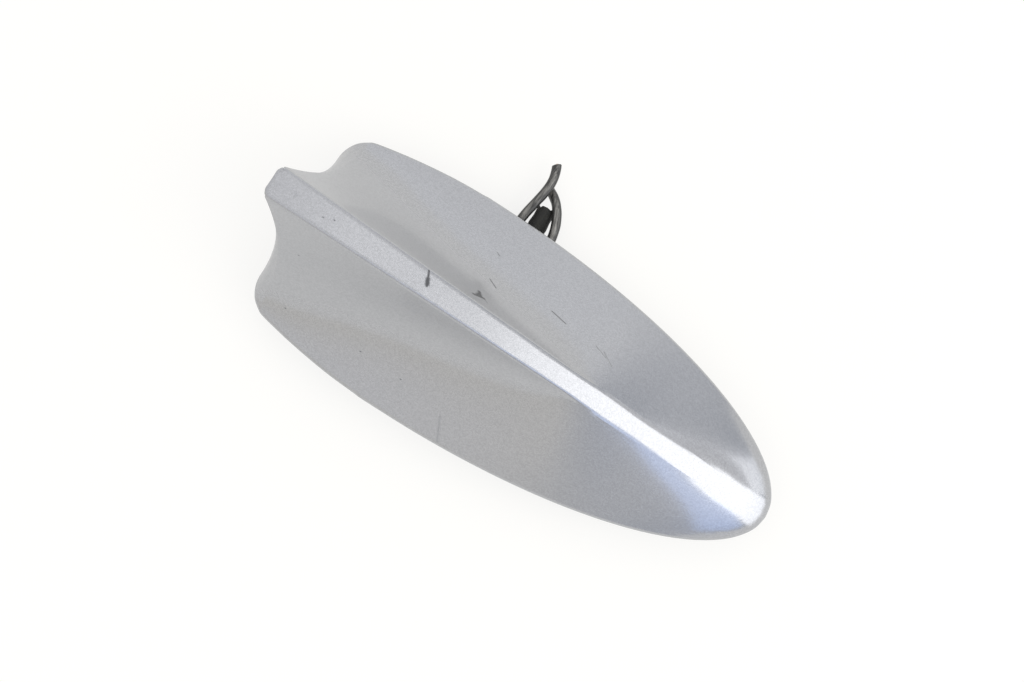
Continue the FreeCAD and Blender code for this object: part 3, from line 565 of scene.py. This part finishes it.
class Assembly:
    """Pieces of the antenna that go together."""

    def finishes(self) -> dict[str, Finish]:
        """Names the finish of each CAD node that stays in view."""
        return {}

    def build(self, frame: dict[str, Any]) -> None:
        """Gives each CAD node of the assembly its finish.

        Args:
            frame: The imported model.
        """
        made: dict[Finish, bpy.types.Material] = {}
        for name, finish in self.finishes().items():
            if finish not in made:
                made[finish] = finish.build()
            mesh = frame["nodes"][name].data
            mesh.materials.clear()
            mesh.materials.append(made[finish])
            log.info("dressed %s in %s", name, finish.name)


@dataclass(frozen=True)
class FinCover(Assembly):
    """The painted cover with its fin, the marks of its years on a roof, and painted shade on the rim by the
    leads. Sizes in millimetres.
    """

    scratch_width: float = 0.62
    hairline_width: float = 0.5
    speck_width: float = 0.6
    speck_length: float = 0.3
    smear_and_shade_width: float = 1.1
    crest_chip: tuple[Point, Point] = ((-27.9, 3.3, 43.2), (-26.2, -0.3, 42.9))
    crest_chip_wide: tuple[Point, Point] = ((-27.0, 1.4, 43.05), (-26.4, 0.1, 42.9))
    chip_width: float = 1.9
    edge_chip: tuple[tuple[Point, Point], ...] = (
        ((-15.3, 5.5, 33.6), (-13.4, 6.1, 31.3)),
        ((-14.8, 7.4, 28.6), (-13.4, 6.1, 31.3)),
        ((-14.5, 6.1, 32.0), (-14.4, 6.8, 29.9)),
        ((-14.5, 6.2, 31.3), (-12.6, 6.2, 30.8)))
    scratches: tuple[tuple[Point, Point], ...] = (
        ((-12.6, 6.2, 30.8), (-11.0, 5.6, 32.0)),
        ((-14.9, 12.8, 19.7), (-12.0, 11.4, 21.1)),
        ((4.3, 14.9, 17.3), (9.5, 13.9, 18.0)))
    hairlines: tuple[tuple[Point, Point], ...] = (
        ((-17.9, 21.0, 12.3), (-16.6, 20.5, 12.8)),
        ((19.8, 13.2, 18.6), (23.9, 11.8, 19.6)),
        ((22.6, 13.0, 18.7), (26.7, 10.5, 20.3)))
    # The first is a dark smear on the near flank; the second is painted shade on the far rim where the
    # leads come out.
    smears_and_painted_shade: tuple[tuple[Point, Point], ...] = (
        ((-3.3, -32.6, 4.5), (-6.3, -26.2, 8.9)),
        ((-15.1, 33.5, 4.2), (-13.1, 33.0, 4.5)))
    specks: tuple[Point, ...] = (
        (-58.1, -0.7, 51.7), (-55.3, 0.3, 51.0), (-61.2, -11.3, 31.4), (-59.7, -24.4, 8.5),
        (-35.0, -23.2, 10.4), (-21.3, -23.6, 10.4))

    def marks(self) -> tuple[PaintMark, ...]:
        """Lists every mark on the paint.

        Returns:
            The marks.
        """
        marks = [
            PaintMark(MarkKind.CHIP, self.chip_width / 2, *self.crest_chip),
            PaintMark(MarkKind.CHIP, self.chip_width, *self.crest_chip_wide)]
        marks += [PaintMark(MarkKind.CHIP, self.chip_width, *ends) for ends in self.edge_chip]
        marks += [PaintMark(MarkKind.SCRATCH, self.scratch_width, *ends) for ends in self.scratches]
        marks += [PaintMark(MarkKind.HAIRLINE, self.hairline_width, *ends) for ends in self.hairlines]
        marks += [PaintMark(MarkKind.SMEAR, self.smear_and_shade_width, *ends) for ends in self.smears_and_painted_shade]
        for x, y, z in self.specks:
            end = (x + self.speck_length, y, z)
            marks.append(PaintMark(MarkKind.SCRATCH, self.speck_width, (x, y, z), end))
        return tuple(marks)

    def finishes(self) -> dict[str, Finish]:
        """Names the finish of the cover.

        Returns:
            The finish by node.
        """
        # Flakes lie nearly flat in sprayed paint, so the cover mirrors the room softly.
        return {"fin_cover": SilverPaint("sprayed_silver_metallic", "a8a9ac", "b4b5b8", metallic=0.9,
                                         roughness=0.22, grain_mm=0.35, grain_depth_mm=0.001, patch_mm=14.0,
                                         gloss_spread=0.12, marks=self.marks())}


@dataclass(frozen=True)
class RoofSeal(Assembly):
    """The rubber between antenna and roof: the gasket and the grommet that the leads come through."""

    grit_mm: float = 0.25
    dust_mm: float = 7.0

    def finishes(self) -> dict[str, Finish]:
        """Names the finishes of the rubber pieces.

        Returns:
            The finishes by node.
        """
        # Moulded EPDM: matt black, a little grey with road dust.
        rubber = Finish("moulded_epdm_rubber", "1b1b1c", "37363a", roughness=0.78, grain_mm=self.grit_mm,
                        grain_depth_mm=0.02, patch_mm=self.dust_mm, patch_share=0.5)
        return {"roof_gasket": rubber, "lead_grommet": rubber}


@dataclass(frozen=True)
class CastBase(Assembly):
    """The cast plate that carries everything, with the screws that hold the cover."""

    cast_grain_mm: float = 0.6

    def finishes(self) -> dict[str, Finish]:
        """Names the finishes of the plate and its screws.

        Returns:
            The finishes by node.
        """
        # Pressure-cast zinc alloy, left as cast: dull grey, with darker flow marks.
        cast = Finish("as_cast_zinc_alloy", "a3a3a5", "858688", metallic=1.0, roughness=0.52,
                      grain_mm=self.cast_grain_mm, grain_depth_mm=0.02, patch_mm=9.0)
        return {"base_plate": cast, "cover_screws": ZINC_PLATE}


@dataclass(frozen=True)
class SatelliteReceiver(Assembly):
    """The satellite aerial: its board, shield can and ceramic patch. Sizes in millimetres."""

    film_margin: float = 2.5

    def patch_finish(self) -> SilveredCeramic:
        """Sets the silver film by the patch's own box.

        Returns:
            The finish of the ceramic patch.
        """
        low, high = (Vector(corner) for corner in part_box("gps_patch"))
        middle = (low + high) / 2
        # Fired ceramic: sandy, fine speckle, dull; the burnt-on silver is satin.
        return SilveredCeramic("fired_patch_ceramic", "cbbd9f", "b4a587", roughness=0.5, grain_mm=0.2,
                               grain_depth_mm=0.006, patch_mm=0.7, middle=(middle.x, middle.y, high.z),
                               half_film=(high.x - low.x) / 2 - self.film_margin * MM)

    def finishes(self) -> dict[str, Finish]:
        """Names the finishes of the receiver's pieces.

        Returns:
            The finishes by node.
        """
        # Solder mask over glass laminate: deep green and glossy.
        board = CircuitLaminate("green_solder_mask", "1c5a38", "2f7a4d", roughness=0.34, grain_mm=0.3,
                                grain_depth_mm=0.03)
        # Hot-tinned sheet steel: bright, with a faint crystal pattern.
        tin = CrystalFinish("hot_tinned_sheet_steel", "c9c9c5", "d6d6d2", metallic=1.0, roughness=0.28,
                            grain_depth_mm=0.002, cell_mm=2.2)
        # Acrylic foam tape: mid grey, full of tiny cells.
        foam = CrystalFinish("acrylic_foam_tape", "666668", "737375", roughness=0.9, grain_depth_mm=0.04,
                             cell_mm=0.35)
        # Gold-flashed brass: warm and bright.
        brass = Finish("gold_flashed_brass", "dcc070", "c9a956", metallic=1.0, roughness=0.27,
                       grain_mm=0.12, grain_depth_mm=0.002, patch_mm=0.8)
        return {"gps_board": board, "gps_board_screws": ZINC_PLATE, "gps_shield_can": tin,
                "gps_patch_pad": foam, "gps_patch": self.patch_finish(), "gps_feed_pin": brass}


@dataclass(frozen=True)
class TelephoneAerial(Assembly):
    """The upright telephone aerial board in its moulded holder."""

    spark_grain_mm: float = 0.3
    # How far the board is turned up, in degrees.
    board_turn: float = 90.0

    def finishes(self) -> dict[str, Finish]:
        """Names the finishes of the aerial's pieces.

        Returns:
            The finishes by node.
        """
        # Moulded glass-filled nylon: black, with the fine matt texture of a spark-eroded mould.
        nylon = Finish("moulded_black_nylon", "1f1f20", "2b2b2c", roughness=0.55,
                       grain_mm=self.spark_grain_mm, grain_depth_mm=0.02, patch_mm=5.0)
        # Green mask over the broad copper lines of an aerial: glossy, with paler bands.
        board = CircuitLaminate("green_aerial_laminate", "1c5a38", "2f7a4d", roughness=0.34, grain_mm=0.3,
                                grain_depth_mm=0.03, track_pitch_mm=3.0, track_share=0.2,
                                turn=self.board_turn)
        return {"phone_board_holder": nylon, "holder_screws": ZINC_PLATE, "phone_board": board}


def spokes(ahead: Vector, sides: int) -> list[Vector]:
    """Spreads unit vectors evenly round a direction.

    Args:
        ahead: The direction.
        sides: How many vectors there are.

    Returns:
        The vectors, square to the direction.
    """
    across = ahead.cross(Vector((0, 0, 1))).normalized()
    upward = across.cross(ahead)
    angles = [math.tau * number / sides for number in range(sides)]
    return [across * math.cos(angle) + upward * math.sin(angle) for angle in angles]


def tube_faces(rings: int, sides: int) -> list[tuple[int, ...]]:
    """Lists the faces of a tube that is closed at both ends.

    Args:
        rings: How many rings of corners the tube has.
        sides: How many corners each ring has.

    Returns:
        The faces, as numbers of corners.
    """
    faces: list[tuple[int, ...]] = []
    for row in range(rings - 1):
        low = row * sides
        high = low + sides
        for side in range(sides):
            beside = (side + 1) % sides
            faces.append((low + side, low + beside, high + beside, high + side))
    faces.append(tuple(reversed(range(sides))))
    faces.append(tuple(range((rings - 1) * sides, rings * sides)))
    return faces


@dataclass(frozen=True)
class CutLead:
    """A lead that was cut off outside the roof: its route and sizes in millimetres."""

    node: str
    slot: str
    jacket: Finish
    diameter: float
    points: tuple[Point, ...]
    # How far the cut slants across the end, how deep its notches are, and how deep the jacket is dented,
    # as a share of its radius.
    slant: float
    notch: float
    dent: float
    has_core: bool = True
    sides: int = 28
    steps: int = 14
    spline_order: int = 3
    dent_length: float = 3.0
    notch_spread: float = 4.0
    sharp_angle: float = 50.0
    # The lip of the cut, as shares of the radius: its outer and inner edge, how deep the inner edge lies,
    # and its share of the slant.
    lip_outer: float = 0.97
    lip_inner: float = 0.78
    lip_depth: float = 0.12
    lip_slant: float = 0.9
    # Half outlines of what shows in the cut, as shares of the radius: out from the middle, along the lead.
    insulation_outline: tuple[tuple[float, float], ...] = ((0.62, -0.3), (0.62, 0.1), (0.56, 0.16))
    wire_outline: tuple[tuple[float, float], ...] = ((0.2, 0.0), (0.2, 0.42), (0.16, 0.48))

    def line(self) -> list[Vector]:
        """Reads the smooth line of the route from its spline.

        Returns:
            Places along the middle of the lead, in metres.
        """
        curve = bpy.data.curves.new(f"{self.node}_line", "CURVE")
        curve.dimensions = "3D"
        spline = curve.splines.new("NURBS")
        spline.points.add(len(self.points) - 1)
        for target, point in zip(spline.points, self.points):
            target.co = (*(Vector(point) * MM), 1.0)
        spline.order_u = self.spline_order
        spline.use_endpoint_u = True
        spline.resolution_u = self.steps
        holder = bpy.data.objects.new(curve.name, curve)
        bpy.context.scene.collection.objects.link(holder)
        mesh = bpy.data.meshes.new_from_object(holder.evaluated_get(bpy.context.evaluated_depsgraph_get()))
        places = [vertex.co.copy() for vertex in mesh.vertices]
        bpy.data.meshes.remove(mesh)
        bpy.data.objects.remove(holder)
        bpy.data.curves.remove(curve)
        return places

    def ring(self, middle: Vector, ahead: Vector, radius: float, cut: float = 0.0) -> list[Vector]:
        """Lays a ring round the lead.

        Args:
            middle: The ring's middle.
            ahead: The lead's direction there.
            radius: Its radius in metres, before the dents.
            cut: 1 where the ring is the cut end, which slants and has notches.

        Returns:
            The ring's corners.
        """
        corners = []
        for number, outward in enumerate(spokes(ahead, self.sides)):
            angle = math.tau * number / self.sides
            spot = (middle + outward * radius) / (self.dent_length * MM)
            swell = 1 + self.dent * noise.noise(spot)
            round_way = Vector((self.notch_spread * math.cos(angle), self.notch_spread * math.sin(angle),
                                self.diameter))
            notch = self.notch * noise.noise(round_way)
            back = cut * (self.slant * math.cos(angle) + notch) * MM
            corners.append(middle + outward * radius * swell + ahead * back)
        return corners

    def build_tube(self, line: list[Vector]) -> bpy.types.Object:
        """Builds the jacket along the line, closed at both ends.

        Args:
            line: Places along the middle of the lead.

        Returns:
            The jacket.
        """
        radius = self.diameter / 2 * MM
        heads = [(there - here).normalized() for here, there in zip(line, line[1:])]
        heads.append(heads[-1])
        rings = [self.ring(place, ahead, radius) for place, ahead in zip(line[:-1], heads)]
        rings.append(self.ring(line[-1], heads[-1], radius * self.lip_outer, cut=1.0))
        inner_edge = line[-1] - heads[-1] * radius * self.lip_depth
        rings.append(self.ring(inner_edge, heads[-1], radius * self.lip_inner, cut=self.lip_slant))
        corners = [corner for ring in rings for corner in ring]
        faces = tube_faces(len(rings), self.sides)
        return self.add_piece(f"{self.node}_cord", corners, faces, self.jacket)

    def build_core(self, line: list[Vector]) -> list[bpy.types.Object]:
        """Builds what shows in the cut: the milky insulation and the copper wire in it.

        Args:
            line: Places along the middle of the lead.

        Returns:
            The two pieces.
        """
        insulation = self.build_turned("insulation", line, self.insulation_outline, LEAD_CORE_FOAM)
        wire = self.build_turned("wire", line, self.wire_outline, CUT_COPPER)
        return [insulation, wire]

    def build_turned(self, name: str, line: list[Vector], outline: tuple[tuple[float, float], ...],
                     finish: Finish) -> bpy.types.Object:
        """Builds a small round piece at the end of the lead and in line with it.

        Args:
            name: What the piece is.
            line: Places along the middle of the lead.
            outline: Its half outline, as shares of the lead's radius.
            finish: Its finish.

        Returns:
            The piece.
        """
        ahead = (line[-1] - line[-2]).normalized()
        radius = self.diameter / 2 * MM
        corners = []
        for out, along in outline:
            for outward in spokes(ahead, self.sides):
                corners.append(line[-1] + outward * out * radius + ahead * along * radius)
        faces = tube_faces(len(outline), self.sides)
        return self.add_piece(f"{self.node}_{name}", corners, faces, finish)

    def add_piece(self, name: str, corners: list[Vector], faces: list[tuple[int, ...]], finish: Finish) -> bpy.types.Object:
        """Makes a mesh piece that rides with the antenna.

        Args:
            name: The piece's name.
            corners: The mesh's corners in metres.
            faces: Its faces, as numbers of corners.
            finish: Its finish.

        Returns:
            The piece.
        """
        mesh = bpy.data.meshes.new(name)
        mesh.from_pydata(corners, [], faces)
        mesh.shade_smooth()
        mesh.set_sharp_from_angle(angle=math.radians(self.sharp_angle))
        mesh.materials.append(finish.build())
        piece = bpy.data.objects.new(name, mesh)
        bpy.context.scene.collection.objects.link(piece)
        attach(piece, BODY)
        log.info("built %s, %d faces", name, len(faces))
        return piece

    def build(self) -> None:
        line = self.line()
        tube = self.build_tube(line)
        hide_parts(self.node)
        pieces = self.build_core(line) if self.has_core else []


@dataclass(frozen=True)
class LeadSet(Assembly):
    """The cut leads that come out at the side, and their runs inside. Sizes in millimetres."""

    thin: float = 2.8
    thick: float = 5.6
    # How far the visible run of the gps lead turns from Y, in degrees.
    gps_turn: float = 24.0
    phone_route: tuple[Point, ...] = (
        (-18.6, 6, -5), (-18.6, 17, -5), (-18.9, 28.5, -5), (-18.7, 36, -4.6), (-17.8, 40.5, -4.1),
        (-17, 44.4, -3.9), (-16.8, 48, -4), (-17.3, 51.2, -4.6), (-18.4, 53.8, -5.4))
    gps_route: tuple[Point, ...] = (
        (-7.8, 6, -5), (-7.8, 15.5, -5), (-7.6, 25, -5), (-7.7, 33, -4.6), (-8.8, 38.4, -3.9),
        (-11, 42.4, -3.7), (-13.4, 45.4, -5.4), (-16.9, 47.4, -8.1))
    sheathed_route: tuple[Point, ...] = (
        (-13.2, 6, -5), (-13.2, 17, -5), (-13.5, 29.5, -6.8), (-13.9, 41.7, -7.15))

    def finishes(self) -> dict[str, Finish]:
        """Names the finishes of the runs inside the antenna."""
        return {"phone_lead_inner": LEAD_PVC, "gps_lead_inner": LEAD_PVC,
                "sheathed_lead_inner": SLEEVE_FELT}

    def build(self, frame: dict[str, Any]) -> None:
        """Dresses the inner runs and builds the cut leads.

        Args:
            frame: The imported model.
        """
        super().build(frame)
        turned_jacket = replace(LEAD_PVC, turn=self.gps_turn)
        leads = (
            CutLead("phone_lead_stub", "lead_jacket", LEAD_PVC, self.thin, self.phone_route,
                    slant=0.5, notch=0.12, dent=0.07),
            CutLead("gps_lead_stub", "lead_jacket", turned_jacket, self.thin, self.gps_route,
                    slant=0.4, notch=0.12, dent=0.07),
            CutLead("sheathed_lead_stub", "matt_sheath", SLEEVE_FELT, self.thick, self.sheathed_route,
                    slant=0.3, notch=0.8, dent=0.1, has_core=False))
        for lead in leads:
            lead.build()


@dataclass(frozen=True)
class PhotoCamera:
    """The camera of the photograph: place in millimetres, angles in degrees and lens in millimetres."""

    place: Point = (24.80, -45.02, 569.34)
    azimuth: float = 28.358
    elevation: float = 84.491
    roll: float = 4.613
    lens: float = 70.3125
    sensor: float = 36.0
    # The nearest and the farthest that it sees, in metres.
    near: float = 0.01
    far: float = 20.0

    def build(self) -> None:
        """Builds the camera and makes it the scene's own."""
        azimuth = math.radians(self.azimuth)
        elevation = math.radians(self.elevation)
        roll = math.radians(self.roll)
        back = Vector((math.sin(azimuth) * math.cos(elevation), -math.cos(azimuth) * math.cos(elevation),
                       math.sin(elevation)))
        level = Vector((math.cos(azimuth), math.sin(azimuth), 0))
        upright = back.cross(level)
        right = level * math.cos(roll) + upright * math.sin(roll)
        up = upright * math.cos(roll) - level * math.sin(roll)
        data = bpy.data.cameras.new("photo_camera")
        data.sensor_width = self.sensor
        data.lens = self.lens
        data.clip_start = self.near
        data.clip_end = self.far
        camera = bpy.data.objects.new("photo_camera", data)
        bpy.context.scene.collection.objects.link(camera)
        turn = Matrix((right, up, back)).transposed().to_4x4()
        camera.matrix_world = Matrix.Translation(Vector(self.place) * MM) @ turn
        bpy.context.scene.camera = camera


@dataclass(frozen=True)
class Pane:
    """One pane of the window: where its middle lies and how far it reaches, in degrees, and its light."""

    name: str
    azimuth: float
    elevation: float
    half_width: float
    half_height: float
    light: float
    colour: str = "ffffff"

    def build(self, distance: float) -> None:
        """Builds the pane as a soft lamp that looks at the antenna.

        Args:
            distance: How far off it stands, in metres.
        """
        azimuth = math.radians(self.azimuth)
        elevation = math.radians(self.elevation)
        way = Vector((math.cos(azimuth) * math.cos(elevation), math.sin(azimuth) * math.cos(elevation),
                      math.sin(elevation)))
        data = bpy.data.lights.new(self.name, "AREA")
        data.shape = "RECTANGLE"
        data.size = 2 * distance * math.tan(math.radians(self.half_width))
        data.size_y = 2 * distance * math.tan(math.radians(self.half_height))
        data.energy = self.light * math.pi * data.size * data.size_y
        data.color = linear(self.colour)[:3]
        lamp = bpy.data.objects.new(self.name, data)
        lamp.location = way * distance
        lamp.rotation_mode = "QUATERNION"
        lamp.rotation_quaternion = (-way).to_track_quat("-Z", "Y")
        lamp.visible_camera = False
        bpy.context.scene.collection.objects.link(lamp)


@dataclass(frozen=True)
class Studio:
    """White table in a pale room, with a tall window ahead of the nose. Sizes in metres."""

    floor_level: float = -0.010
    floor_side: float = 4.0
    floor_glow: float = 0.8
    paper: str = "fbf7ea"
    ceiling: str = "f0f0f1"
    near_wall: str = "eae7e0"
    far_wall: str = "fafbfd"
    front_wall: str = "c1c5cd"
    # Parts of a direction, from 0 to 1: where the side walls have their full tone, where the front wall
    # begins and has its own, and where the ceiling has its own.
    side_full: float = 0.7
    front_from: float = 0.02
    front_full: float = 0.42
    ceiling_full: float = 0.75
    room_light: float = 1.12
    window_distance: float = 2.5
    window: tuple[Pane, ...] = (
        Pane("tall_window", azimuth=1.0, elevation=29.0, half_width=25.0, half_height=29.5, light=1.6),
        Pane("fanlight", azimuth=12.0, elevation=67.5, half_width=16.0, half_height=2.5, light=0.5),
        Pane("blue_sky_pane", azimuth=-42.0, elevation=25.0, half_width=15.0, half_height=20.0, light=0.72,
             colour="9cc0ff"),
        Pane("low_pane", azimuth=43.0, elevation=12.0, half_width=14.0, half_height=12.0, light=1.0))

    def build_floor(self) -> None:
        """Builds the table top, which looks white and still takes a faint shadow."""
        half = self.floor_side / 2
        mesh = bpy.data.meshes.new("table_top")
        corners = [(-half, -half), (half, -half), (half, half), (-half, half)]
        mesh.from_pydata([(x, y, self.floor_level) for x, y in corners], [], [(0, 1, 2, 3)])
        floor = bpy.data.objects.new("table_top", mesh)
        bpy.context.scene.collection.objects.link(floor)
        material = bpy.data.materials.new("white_table")
        material.use_nodes = True
        tree = material.node_tree
        tree.nodes.clear()
        paper = add_node(tree, "ShaderNodeBsdfDiffuse", sockets={"Color": linear(self.paper)})
        glow = add_node(tree, "ShaderNodeEmission", sockets={"Color": (1, 1, 1, 1), "Strength": 1.0})
        path = add_node(tree, "ShaderNodeLightPath")
        mirrored = add_node(tree, "ShaderNodeMath", {"operation": "MAXIMUM"}, {
            0: path.outputs["Is Camera Ray"], 1: path.outputs["Is Glossy Ray"]})
        seen = add_node(tree, "ShaderNodeMath", {"operation": "MAXIMUM"}, {
            0: mirrored.outputs["Value"], 1: path.outputs["Is Transmission Ray"]})
        share = add_node(tree, "ShaderNodeMath", {"operation": "MULTIPLY"}, {
            0: seen.outputs["Value"], 1: self.floor_glow})
        blend = add_node(tree, "ShaderNodeMixShader", sockets={
            0: share.outputs["Value"], 1: paper.outputs["BSDF"], 2: glow.outputs["Emission"]})
        add_node(tree, "ShaderNodeOutputMaterial", sockets={"Surface": blend.outputs["Shader"]})
        mesh.materials.append(material)

    def build_room(self) -> None:
        """Builds the room's even light: pale walls, a cooler one ahead, and a white ceiling."""
        world = bpy.data.worlds.new("studio_room")
        world.use_nodes = True
        bpy.context.scene.world = world
        tree = world.node_tree
        way = add_node(tree, "ShaderNodeTexCoord")
        parts = add_node(tree, "ShaderNodeSeparateXYZ", sockets={0: way.outputs["Generated"]})
        side = add_node(tree, "ShaderNodeMapRange", sockets={
            "Value": parts.outputs["Y"], "From Min": -self.side_full, "From Max": self.side_full})
        walls = add_node(tree, "ShaderNodeMix", {"data_type": "RGBA"}, {
            MIX_SHARE: side.outputs["Result"], MIX_FIRST: linear(self.near_wall),
            MIX_SECOND: linear(self.far_wall)})
        front = add_node(tree, "ShaderNodeMapRange", {"interpolation_type": "SMOOTHSTEP"}, {
            "Value": parts.outputs["X"], "From Min": self.front_from, "From Max": self.front_full})
        round_walls = add_node(tree, "ShaderNodeMix", {"data_type": "RGBA"}, {
            MIX_SHARE: front.outputs["Result"], MIX_FIRST: walls.outputs[MIX_RESULT],
            MIX_SECOND: linear(self.front_wall)})
        height = add_node(tree, "ShaderNodeMapRange", {"interpolation_type": "SMOOTHSTEP"}, {
            "Value": parts.outputs["Z"], "From Max": self.ceiling_full})
        room = add_node(tree, "ShaderNodeMix", {"data_type": "RGBA"}, {
            MIX_SHARE: height.outputs["Result"], MIX_FIRST: round_walls.outputs[MIX_RESULT],
            MIX_SECOND: linear(self.ceiling)})
        background = tree.nodes["Background"]
        background.inputs["Strength"].default_value = self.room_light
        tree.links.new(room.outputs[MIX_RESULT], background.inputs["Color"])

    def build(self) -> None:
        """Builds the whole studio."""
        self.build_floor()
        self.build_room()
        for pane in self.window:
            pane.build(self.window_distance)
        bpy.context.scene.view_settings.view_transform = "Standard"


def main() -> None:
    """Builds the pieces in order."""
    logging.basicConfig(level=logging.INFO)
    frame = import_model()
    PhotoCamera().build()
    Studio().build()
    for assembly in (FinCover(), RoofSeal(), CastBase(), SatelliteReceiver(), TelephoneAerial(), LeadSet()):
        assembly.build(frame)


if __name__ == "__main__":
    main()
